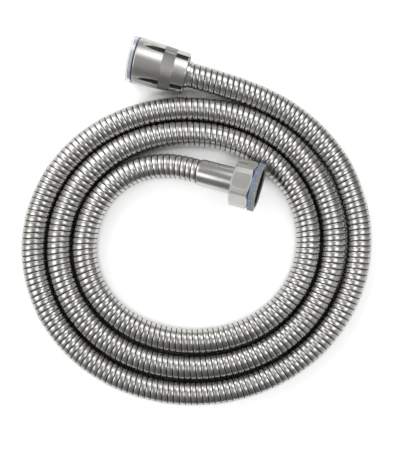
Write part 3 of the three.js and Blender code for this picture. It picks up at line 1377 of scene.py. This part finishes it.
@dataclass
class GripFitting(Fitting):
    """The round grip nut: a cone with four sets of slots, a matte band and a clear ring."""

    mouth_radius: float = 13.0
    rear_radius: float = 11.4
    length: float = 29.0
    rear_bore: float = 9.8
    ring_reach: float = 3.5
    ring_wall: float = 1.3
    edge: float = 0.4
    shoulder_thickness: float = 2.6
    spigot_short: float = 0.6
    slot_count: int = 4
    slot_width: float = 3.3
    first_slot: float = 28.0
    front_slot: tuple[float, float] = (2.8, 15.0)
    front_depth: float = 1.8
    recess_depth: float = 0.45
    rear_slot: tuple[float, float] = (21.7, 30.0)
    rear_depth: float = 1.4
    band: tuple[float, float] = (14.8, 21.6)
    band_lines: int = 20
    band_line_depth: float = 0.05
    band_step: float = 0.02
    socket_edge: float = 0.1
    thread_start: float = -1.4
    thread_relief: float = 1.5
    nut_rounding: float = 0.1
    nut_rounded_angle: float = 45
    nut_steps: int = 160

    @classmethod
    def slope(cls) -> float:
        """Gives how fast the cone's radius falls along its length."""
        return (cls.mouth_radius - cls.rear_radius) / cls.length

    @classmethod
    def height_of(cls, depth: float) -> float:
        """Gives the height on the bench of a depth behind the steel mouth."""
        return -cls.ring_reach - depth

    def radius_at(self, depth: float) -> float:
        """Gives the cone's radius at a depth behind the steel mouth."""
        return self.mouth_radius - self.slope() * depth

    def band_profile(self) -> list[tuple[float, float]]:
        """Gives the corners of the band's fine turned lines, from the rear to the front.

        Returns:
            Radius and height of each corner.
        """
        start, end = self.band
        step = (end - start) / (2 * self.band_lines)
        corners = []
        for line in range(2 * self.band_lines + 1):
            depth = end - line * step
            sunk = self.band_line_depth * (1 + line % 2)
            corners.append((self.radius_at(depth) - sunk, self.height_of(depth)))
        return corners

    def nut_blank(self, thread: Thread) -> bpy.types.Object:
        """Turns the nut without its slots.

        Args:
            thread: The thread whose root the socket is bored to.

        Returns:
            The blank.
        """
        mouth, edge = self.height_of(0), self.edge
        rear, corner = mouth - self.length, CORNER_SHARE * edge
        front, back = -self.stack.shoulder, -self.stack.shoulder - self.shoulder_thickness
        spigot = self.mouth_radius - edge / 2 - self.ring_wall - self.stack.gap
        band_start, band_end = self.band
        corners = [
            (self.rear_bore, rear + edge / 2),
            (self.rear_bore + edge / 2, rear),
            (self.rear_radius - edge, rear),
            (self.rear_radius - corner, rear + corner),
            (self.rear_radius, rear + edge),
            (self.radius_at(band_end), mouth - band_end - self.band_step),
            *self.band_profile(),
            (self.radius_at(band_start), mouth - band_start + self.band_step),
            (self.mouth_radius, mouth - edge),
            (self.mouth_radius - corner, mouth - corner),
            (self.mouth_radius - edge, mouth),
            (spigot, mouth),
            (spigot, -self.spigot_short),
            (thread.root + self.socket_edge, -self.spigot_short),
            (thread.root, -self.spigot_short - self.socket_edge),
            (thread.root, front),
            (self.nut_bore, front),
            (self.nut_bore, back),
            (self.rear_bore, back),
        ]
        return turned("grip_nut", corners, self.nut_steps)

    def slot_cutter(self, start: float, end: float, first: float, last: float) -> bpy.types.Object:
        """Makes the round-bottomed bar that mills one slot at the top of the nut.

        Args:
            start: The slot's front end, as a depth behind the steel mouth.
            end: Its rear end.
            first: The height of its floor above the axis at the front end.
            last: The height of its floor at the rear end.

        Returns:
            The cutter.
        """
        radius = self.slot_width / 2
        length = math.hypot(end - start, last - first)
        bpy.ops.object.select_all(action="DESELECT")
        bpy.ops.mesh.primitive_cylinder_add(
            vertices=32, radius=radius * MM, depth=length * MM, location=(0, radius * MM, -length / 2 * MM)
        )
        bar = bpy.context.active_object
        bpy.ops.object.transform_apply()
        pick_points(bar, lambda place: place.y > radius * MM + SAME_POINT)
        bpy.ops.transform.translate(value=(0, 2 * self.slot_width * MM, 0))
        bpy.ops.object.mode_set(mode="OBJECT")
        tilt = math.atan2(last - first, end - start)
        bar.matrix_world = Matrix.Translation(
            Vector((0, first, self.height_of(start))) * MM
        ) @ Matrix.Rotation(tilt, 4, "X")
        bpy.ops.object.transform_apply()
        return bar

    def cut_slots(self, nut: bpy.types.Object) -> None:
        """Mills each set of slots: a deepening front slot, a shallow recess and a rear slot.

        Args:
            nut: The blank that is cut.
        """
        front_start, front_end = self.front_slot
        rear_start, rear_end = self.rear_slot
        bars = (
            (
                front_start,
                front_end,
                self.radius_at(front_start),
                self.radius_at(front_end) - self.front_depth,
            ),
            (
                front_end - self.stack.gap,
                rear_start + self.stack.gap,
                self.radius_at(front_end) - self.recess_depth,
                self.radius_at(rear_start) - self.recess_depth,
            ),
            (
                rear_start,
                rear_end,
                self.radius_at(rear_start) - self.rear_depth,
                self.radius_at(rear_end) - self.rear_depth,
            ),
        )
        for slot in range(self.slot_count):
            turn = math.radians(self.first_slot + 360 / self.slot_count * slot)
            for bar in bars:
                cutter = self.slot_cutter(*bar)
                cutter.data.transform(Matrix.Rotation(turn, 4, "Z"))
                machine(nut, cutter, Cut.REMOVE)

    def build_nut(self, finishes: "Wardrobe") -> None:
        """Builds the grip nut with its thread, and the clear ring in front of it.

        Args:
            finishes: The finishes and their materials.
        """
        thread = Thread(self.thread_start, self.thread_relief - self.stack.shoulder)
        nut = self.nut_blank(thread)
        self.cut_slots(nut)
        soften(nut, self.nut_rounding, self.nut_rounded_angle)
        join(nut, thread.build())
        self.hand_over(nut, "nut", "grip_turner", *finishes.named("grip"))
        back = self.ring_reach - self.stack.gap
        outer = self.mouth_radius - self.edge / 2
        ring = self.ring("clear_ring", outer - self.ring_wall, outer, back, back)
        self.hand_over(ring, "clear_ring", "grip_turner", *finishes.named("grip_clear"))


@dataclass
class HexFitting(Fitting):
    """The hexagon nut, coned at both ends, and the clear hexagonal ring in front of it."""

    across_flats: float = 24.0
    across_corners: float = 27.3
    length: float = 11.0
    cone_angle: float = 28.0
    face_inset: float = 0.2
    pad_half_width: float = 4.5
    relief_angle: float = 7.0
    ring_reach: float = 4.0
    ring_wall: float = 0.6
    spigot_short: float = 0.6
    margin: float = 1.0
    notch_width: float = 0.8
    notch_length: float = 6.0
    notch_depth: float = 0.8
    notch_angle: float = -60.0
    thread_start: float = -1.0
    thread_relief: float = 1.2
    nut_rounding: float = 0.14
    nut_rounded_angle: float = 20
    nut_shading_angle: float = 5
    clear_rounding: float = 0.2
    clear_rounded_angle: float = 40
    nut_steps: int = 160

    def plug(self, radius: float, front: float, back: float) -> bpy.types.Object:
        """Makes a round plug between two depths."""
        corners = [(0, -back), (radius, -back), (radius, -front), (0, -front)]
        return turned("plug", corners, self.nut_steps)

    def coned_blank(self, front: float, back: float) -> bpy.types.Object:
        """Makes the turned blank that takes the corners off the hexagon.

        Args:
            front: The depth of its front face.
            back: The depth of its rear face.

        Returns:
            The blank.
        """
        across = self.across_corners / 2
        face = self.across_flats / 2 - self.face_inset
        cone = (across - face) * math.tan(math.radians(self.cone_angle))
        corners = [
            (0, -back),
            (face, -back),
            (across, -back + cone),
            (across, -front - cone),
            (face, -front),
            (0, -front),
        ]
        return turned("coned_blank", corners, self.nut_steps)

    def bored_body(self, thread: Thread) -> bpy.types.Object:
        """Makes the inside of the nut as one tool: the socket, the step and the rear bore.

        Args:
            thread: The thread whose root the socket is bored to.

        Returns:
            The tool.
        """
        rear = self.ring_reach + self.length
        shoulder = self.stack.shoulder
        corners = [
            (0, -rear - self.margin),
            (self.nut_bore, -rear - self.margin),
            (self.nut_bore, -shoulder),
            (thread.root, -shoulder),
            (thread.root, self.margin),
            (0, self.margin),
        ]
        return turned("bore", corners, self.nut_steps)

    def relieve_flats(self, nut: bpy.types.Object) -> None:
        """Tilts a narrow strip beside each of the hexagon's edges, so that the pads stand out.

        Args:
            nut: The hexagonal blank.
        """
        relief = math.radians(self.relief_angle)
        across = self.across_flats * math.cos(relief) + 2 * self.pad_half_width * math.sin(relief)
        top = self.margin - self.ring_reach
        bottom = -self.ring_reach - self.length - self.margin
        for turn in (relief, -relief):
            bar = hexagonal("relief", across, top, bottom)
            bar.data.transform(Matrix.Rotation(turn, 4, "Z"))
            machine(nut, bar, Cut.KEEP_COMMON)

    def notch_cutter(self) -> bpy.types.Object:
        """Makes the block that cuts the notch into the rear of one flat.

        Returns:
            The cutter.
        """
        bpy.ops.object.select_all(action="DESELECT")
        bpy.ops.mesh.primitive_cube_add(size=MM)
        notch = bpy.context.active_object
        notch.scale = (self.notch_width, 2 * self.notch_depth, 2 * self.notch_length)
        notch.location = Vector((0, self.across_flats / 2, -self.ring_reach - self.length)) * MM
        bpy.ops.object.transform_apply()
        notch.data.transform(Matrix.Rotation(math.radians(self.notch_angle), 4, "Z"))
        return notch

    def spigot(self, thread: Thread, radius: float) -> bpy.types.Object:
        """Makes the round spigot that carries the clear ring.

        Args:
            thread: The thread whose root is the spigot's bore.
            radius: Its outer radius.

        Returns:
            The spigot, which starts a little inside the nut.
        """
        back, front = -self.ring_reach - self.margin / 2, -self.spigot_short
        corners = [(thread.root, back), (radius, back), (radius, front), (thread.root, front)]
        return turned("spigot", corners, self.nut_steps)

    def clear_ring(self, bore: float) -> bpy.types.Object:
        """Makes the clear hexagonal ring with its round bore.

        Args:
            bore: The bore's radius.

        Returns:
            The ring.
        """
        back = self.ring_reach - self.stack.gap
        ring = hexagonal("clear_ring", self.across_flats, 0, -back)
        for radius, cut in ((self.across_corners / 2, Cut.KEEP_COMMON), (bore, Cut.REMOVE)):
            machine(ring, self.plug(radius, -self.margin, back + self.margin), cut)
        soften(ring, self.clear_rounding, self.clear_rounded_angle)
        return ring

    def build_nut(self, finishes: "Wardrobe") -> None:
        """Builds the hexagon nut with its thread, and the clear ring in front of it.

        Args:
            finishes: The finishes and their materials.
        """
        mouth, rear = self.ring_reach, self.ring_reach + self.length
        thread = Thread(self.thread_start, self.thread_relief - self.stack.shoulder)
        nut = hexagonal("hex_nut", self.across_flats, -mouth, -rear)
        machine(nut, self.coned_blank(mouth, rear), Cut.KEEP_COMMON)
        self.relieve_flats(nut)
        machine(nut, self.notch_cutter(), Cut.REMOVE)
        machine(nut, self.bored_body(thread), Cut.REMOVE)
        soften(nut, self.nut_rounding, self.nut_rounded_angle)
        bore = self.across_flats / 2 - self.ring_wall
        join(nut, self.spigot(thread, bore - self.stack.gap), thread.build())
        self.hand_over(nut, "nut", "hex_turner", *finishes.named("hex"), angle=self.nut_shading_angle)
        ring = self.clear_ring(bore)
        self.hand_over(ring, "clear_ring", "hex_turner", *finishes.named("hex_clear"))


# Finishes of this hose

STEEL = (0.6, 0.592, 0.568)


@dataclass
class Wardrobe:
    """Every finish with its material."""

    made: dict[str, tuple[Finish, bpy.types.Material]] = field(default_factory=dict)

    def add(self, key: str, finish: Finish, effects: Effects) -> None:
        """Builds a finish and keeps it under a short name.

        Args:
            key: The short name.
            finish: The finish.
            effects: The shared shader groups.
        """
        self.made[key] = (finish, finish.build(effects))

    def named(self, key: str) -> tuple[Finish, bpy.types.Material]:
        """Gives a finish and its material by its short name."""
        return self.made[key]


def grip_finish(stack: Stack) -> GripFinish:
    """Gives the grip nut's finish, whose masks follow the nut's own sizes.

    Args:
        stack: The depths at the grip end.

    Returns:
        The finish.
    """
    nut, margin = GripFitting, 0.5
    return GripFinish(
        "satin_grip_steel",
        "nut_steel",
        STEEL,
        0.29,
        mouth_radius=nut.mouth_radius,
        slope=nut.slope(),
        steel_front=nut.height_of(0),
        band=(nut.height_of(nut.band[1]), nut.height_of(nut.band[0])),
        slots=(nut.height_of(nut.length - margin), nut.height_of(nut.front_slot[0] - margin)),
        bore_radius=nut.rear_bore,
        socket_radius=Thread.root,
        socket_floor=-stack.shoulder,
    )


def hex_finish() -> HexFinish:
    """Gives the hexagon nut's finish, whose masks follow the nut's own sizes.

    Returns:
        The finish.
    """
    nut = HexFitting
    return HexFinish(
        "milled_hex_steel",
        "nut_steel",
        STEEL,
        0.33,
        round_scale=500.0,
        line_depth=0.008,
        flat=nut.across_flats / 2,
        notch_angle=nut.notch_angle,
        notch_half_width=nut.notch_width / 2,
        notch_depth=nut.notch_depth,
        notch_front=nut.notch_length - nut.ring_reach - nut.length,
        socket_radius=Thread.root,
        pad_middle=-nut.ring_reach - nut.length / 2,
        pad_half_width=nut.pad_half_width,
    )


def build_wardrobe(grip_stack: Stack) -> Wardrobe:
    """Builds the finishes of the casing, the fittings and the seals.

    Args:
        grip_stack: The depths at the grip end.

    Returns:
        The finishes with their materials.
    """
    effects = Effects(build_handling_marks(), build_turning_lines())
    wardrobe = Wardrobe()
    casing = CasingFinish(
        "polished_spiral_steel",
        "casing_steel",
        STEEL,
        0.24,
        line_depth=0.0012,
        groove_radius=SpiralCasing.groove_radius,
    )
    grip_clear = ClearFinish(
        "grip_clear_plastic",
        "clear_plastic",
        (0.92, 0.93, 0.95),
        0.06,
        clarity=0.9,
        tint=(0.13, 0.14, 0.34),
        tint_back=-2.7,
        tint_front=-2.2,
    )
    hex_clear = ClearFinish(
        "hex_clear_plastic",
        "clear_plastic",
        (0.44, 0.45, 0.44),
        0.2,
        clarity=0.3,
        tint=(0.34, 0.42, 0.58),
        tint_back=-1.9,
        tint_front=-1.5,
    )
    rubber, brass = (0.025, 0.025, 0.028), (0.72, 0.56, 0.3)
    for key, finish in (
        ("casing", casing),
        ("ferrule", SteelFinish("polished_sleeve_steel", "ferrule_steel", STEEL, 0.14)),
        ("grip", grip_finish(grip_stack)),
        ("hex", hex_finish()),
        ("brass", PlainFinish("turned_brass", "insert_brass", brass, 0.3, metallic=1.0)),
        ("washer", PlainFinish("washer_rubber", "washer_rubber", rubber, 0.62)),
        ("tube", PlainFinish("tube_rubber", "tube_rubber", (0.03, 0.03, 0.033), 0.6, own_place=False)),
        ("nylon", PlainFinish("slip_nylon", "slip_nylon", (0.82, 0.8, 0.74), 0.45)),
        ("grip_clear", grip_clear),
        ("hex_clear", hex_clear),
    ):
        wardrobe.add(key, finish, effects)
    return wardrobe


# The studio


@dataclass(frozen=True)
class Softbox:
    """An area lamp that faces the middle of the coil, by its angles in degrees and sizes in metres."""

    name: str
    azimuth: float
    polar: float
    distance: float
    width: float
    height: float
    radiance: float

    def hang(self) -> None:
        """Hangs the lamp in its place, where only rough surfaces show its light."""
        turn, fall = math.radians(self.azimuth), math.radians(self.polar)
        away = Vector((math.cos(turn) * math.sin(fall), math.sin(turn) * math.sin(fall), math.cos(fall)))
        data = bpy.data.lights.new(self.name, "AREA")
        data.shape = "RECTANGLE"
        data.size, data.size_y = self.width, self.height
        data.energy = self.radiance * math.pi * self.width * self.height
        lamp = bpy.data.objects.new(self.name, data)
        lamp.location = away * self.distance
        lamp.rotation_euler = away.to_track_quat("Z", "Y").to_euler()
        lamp.visible_camera = False
        lamp.visible_glossy = False
        bpy.context.scene.collection.objects.link(lamp)


@dataclass(frozen=True)
class GlowPanel:
    """A soft round panel that only polished surfaces show, by its place in millimetres."""

    name: str
    place: tuple[float, float, float]
    reach: float
    level: float

    def hang(self) -> None:
        """Hangs the panel so that it faces the middle of the coil."""
        place = Vector(self.place) * MM
        bpy.ops.object.select_all(action="DESELECT")
        bpy.ops.mesh.primitive_plane_add(
            size=2 * self.reach * MM,
            location=place,
            rotation=place.to_track_quat("Z", "Y").to_euler(),
        )
        panel = bpy.context.active_object
        panel.name = self.name
        material = bpy.data.materials.new(f"{self.name}_cloth")
        material.use_nodes = True
        wiring = Wiring(material.node_tree)
        place = wiring.node("TexCoord").outputs["Object"]
        away = wiring.node("VectorMath", {0: place}, operation="LENGTH")
        fade = wiring.ramp(away.outputs["Value"], self.reach * MM, 0.0)
        glow = wiring.node("Emission", {"Strength": wiring.maths("MULTIPLY", fade, self.level)})
        clear = wiring.node("BsdfTransparent")
        both = wiring.node("AddShader", {0: glow.outputs[0], 1: clear.outputs[0]})
        leave = material.node_tree.nodes["Material Output"]
        wiring.feed(leave.inputs["Surface"], both.outputs[0])
        panel.data.materials.append(material)
        show_in_gloss_only(panel)


def show_in_gloss_only(piece: bpy.types.Object) -> None:
    """Keeps a piece of the studio out of everything but reflections.

    Args:
        piece: The panel or tent.
    """
    piece.visible_camera = False
    piece.visible_diffuse = False
    piece.visible_shadow = False
    piece.visible_transmission = False
    piece.visible_volume_scatter = False


@dataclass
class Studio:
    """The camera, the lamps, the floor and the light tent that polished steel shows.

    The camera, the shade and the panels are in millimetres, the floor, the tent and the lamps in metres.
    """

    camera_place: tuple[float, float, float] = (2.05, -3.0, 280.0)
    view_width: float = 233.2
    view_depth: float = 273.0
    sensor: float = 36.0
    nearest_view: float = 0.01
    floor_size: float = 6.0
    floor_colour: tuple[float, float, float] = (0.86, 0.86, 0.86)
    floor_roughness: float = 0.9
    floor_lift: float = 0.55
    # The painted shade on the floor: its colour share, reach, range and samples, and the coil's edge beyond
    # which it mostly fades.
    shade_share: float = 0.12
    shade_reach: float = 18.0
    shade_range: tuple[float, float] = (0.18, 0.46)
    shade_samples: int = 8
    coil_edge: tuple[float, float] = (91.0, 96.0)
    edge_light: float = 0.75
    backdrop: float = 1.0
    fill: float = 0.34
    tent_radius: float = 2.6
    tent_foot: float = 0.01
    tent_segments: int = 64
    tent_level: float = 0.29
    tent_slope: tuple[float, float] = (-0.16, 0.17)
    panels: tuple[GlowPanel, ...] = (
        GlowPanel("left_panel", (-390, -93, 428), 290, 2.9),
        GlowPanel("back_panel", (82, 219, 282), 175, 3.2),
        GlowPanel("right_panel", (380, -191, 120), 400, 0.6),
        GlowPanel("near_panel", (-130, 128, 120), 115, 2.8),
        GlowPanel("top_panel", (192, -51, 402), 205, 2.7),
    )
    boxes: tuple[Softbox, ...] = (
        Softbox("left_bank", 176, 58, 0.9, 0.62, 1.05, 1.7),
        Softbox("back_bank", 104, 52, 0.9, 0.8, 0.5, 1.7),
        Softbox("right_lamp", -6, 33, 0.9, 0.34, 0.42, 1.7),
    )

    def set_camera(self) -> None:
        """Stands the camera straight above the coil, looking down."""
        data = bpy.data.cameras.new("camera")
        data.sensor_fit = "HORIZONTAL"
        data.sensor_width = self.sensor
        data.lens = self.sensor * self.view_depth / self.view_width
        data.clip_start = self.nearest_view
        camera = bpy.data.objects.new("camera", data)
        camera.location = Vector(self.camera_place) * MM
        bpy.context.scene.collection.objects.link(camera)
        bpy.context.scene.camera = camera

    def shows_background(self, wiring: Wiring) -> bpy.types.NodeSocket:
        """Gives 1 for rays that come from the camera or by way of metal or glass.

        Args:
            wiring: The wiring of the material or the world.

        Returns:
            The mask.
        """
        path = wiring.node("LightPath")
        glossy = wiring.maths("MAXIMUM", path.outputs["Is Camera Ray"], path.outputs["Is Glossy Ray"])
        return wiring.maths("MAXIMUM", glossy, path.outputs["Is Transmission Ray"])

    def set_world(self) -> None:
        """Makes the world a white backdrop that lights the object at the fill's level."""
        world = bpy.data.worlds.new("studio")
        bpy.context.scene.world = world
        world.use_nodes = True
        wiring = Wiring(world.node_tree)
        seen = self.shows_background(wiring)
        strength = wiring.maths("MULTIPLY_ADD", seen, self.backdrop - self.fill, self.fill)
        background = world.node_tree.nodes["Background"]
        background.inputs["Color"].default_value = (1, 1, 1, 1)
        wiring.feed(background.inputs["Strength"], strength)

    def lay_floor(self) -> None:
        """Lays the pale floor, which keeps the hose's shadow from the lamps, with painted shade where the
        hose closes over it and little of it outside the coil.
        """
        bpy.ops.object.select_all(action="DESELECT")
        bpy.ops.mesh.primitive_plane_add(size=self.floor_size, location=(0, 0, 0))
        floor = bpy.context.active_object
        floor.name = "floor"
        material = bpy.data.materials.new("pale_floor")
        material.use_nodes = True
        wiring = Wiring(material.node_tree)
        shader = material.node_tree.nodes["Principled BSDF"]
        shader.inputs["Roughness"].default_value = self.floor_roughness
        shader.inputs["Specular IOR Level"].default_value = 0.0
        shader.inputs["Emission Color"].default_value = (1, 1, 1, 1)
        # Painted shade: the floor's colour and glow are darkened where ambient occlusion finds the hose
        # close over it, and lit again outside the coil's edge.
        nearby = wiring.node(
            "AmbientOcclusion", {"Distance": self.shade_reach * MM}, samples=self.shade_samples
        )
        place = wiring.node("TexCoord").outputs["Object"]
        centre = Vector((*HoseRoute.centre, 0)) * MM
        away = wiring.node("VectorMath", {0: place, 1: centre}, operation="DISTANCE")
        outside = wiring.ramp(away.outputs["Value"], *(edge * MM for edge in self.coil_edge))
        open_floor = wiring.maths(
            "MAXIMUM",
            wiring.ramp(nearby.outputs["AO"], *self.shade_range),
            wiring.maths("MULTIPLY", outside, self.edge_light),
        )
        shade = tuple(channel * self.shade_share for channel in self.floor_colour)
        wiring.feed(shader.inputs["Base Color"], wiring.blend(open_floor, shade, self.floor_colour))
        seen = wiring.maths("MULTIPLY", self.shows_background(wiring), open_floor)
        lift = wiring.maths("MULTIPLY", seen, self.floor_lift)
        wiring.feed(shader.inputs["Emission Strength"], lift)
        floor.data.materials.append(material)

    def raise_tent(self) -> None:
        """Raises the light tent over the object, which only reflections show."""
        bpy.ops.object.select_all(action="DESELECT")
        bpy.ops.mesh.primitive_uv_sphere_add(
            segments=self.tent_segments,
            ring_count=self.tent_segments // 2,
            radius=self.tent_radius,
            location=(0, 0, 0),
        )
        tent = bpy.context.active_object
        tent.name = "light_tent"
        bpy.ops.object.mode_set(mode="EDIT")
        bpy.ops.mesh.select_all(action="SELECT")
        bpy.ops.mesh.bisect(plane_co=(0, 0, self.tent_foot), plane_no=(0, 0, 1), clear_inner=True)
        bpy.ops.object.mode_set(mode="OBJECT")
        material = bpy.data.materials.new("lit_tent_cloth")
        material.use_nodes = True
        wiring = Wiring(material.node_tree)
        shader = material.node_tree.nodes["Principled BSDF"]
        place = wiring.node("TexCoord").outputs["Object"]
        toward = wiring.node("VectorMath", {0: place}, operation="NORMALIZE").outputs[0]
        parts = wiring.node("SeparateXYZ", {0: toward})
        level = wiring.maths("MULTIPLY_ADD", parts.outputs[0], self.tent_slope[0], self.tent_level)
        level = wiring.maths("MULTIPLY_ADD", parts.outputs[1], self.tent_slope[1], level)
        shader.inputs["Base Color"].default_value = (0, 0, 0, 1)
        shader.inputs["Specular IOR Level"].default_value = 0.0
        shader.inputs["Emission Color"].default_value = (1, 1, 1, 1)
        wiring.feed(shader.inputs["Emission Strength"], level)
        tent.data.materials.append(material)
        show_in_gloss_only(tent)

    def build(self) -> None:
        """Sets up the world, the floor, the tent, the panels and the lamps."""
        bpy.context.scene.view_settings.view_transform = "Standard"
        self.set_world()
        self.lay_floor()
        self.raise_tent()
        for light in (*self.panels, *self.boxes):
            light.hang()


def main() -> None:
    """Builds the hose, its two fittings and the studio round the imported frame."""
    logging.basicConfig(level=logging.INFO, format="%(name)s: %(message)s")
    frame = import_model()
    studio = Studio()
    studio.set_camera()
    grip_tilt = math.degrees(math.atan(GripFitting.slope()))
    grip_frame = EndFrame(mouth=(-37.1, 93.4, 13.7), heading=165.6, tilt=grip_tilt)
    hex_frame = EndFrame(mouth=(35.3, 19.5, 19.8), heading=-16.2, tilt=11.5)
    grip_stack, hex_stack = Stack(shoulder=14.0), Stack(shoulder=12.4)
    finishes = build_wardrobe(grip_stack)
    route = HoseRoute(grip_frame, hex_frame, grip_stack, hex_stack)
    casing, line, length = SpiralCasing(route).build()
    finish, material = finishes.named("casing")
    casing.data.materials.append(material)
    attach(casing, "hose")
    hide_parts("hose_casing")
    log.info("%s: %d faces, %.3f m long", casing.name, len(casing.data.polygons), length)
    fittings = (
        GripFitting(End.GRIP, grip_frame, grip_stack, ferrule_short=2.2),
        HexFitting(End.HEX, hex_frame, hex_stack),
    )
    for fitting in fittings:
        fitting.build_fixed(finishes)
        fitting.build_nut(finishes)
    tube = frame["nodes"]["inner_tube"]
    tube.data.materials.clear()
    tube.data.materials.append(finishes.named("tube")[1])
    studio.build()


if __name__ == "__main__":
    main()
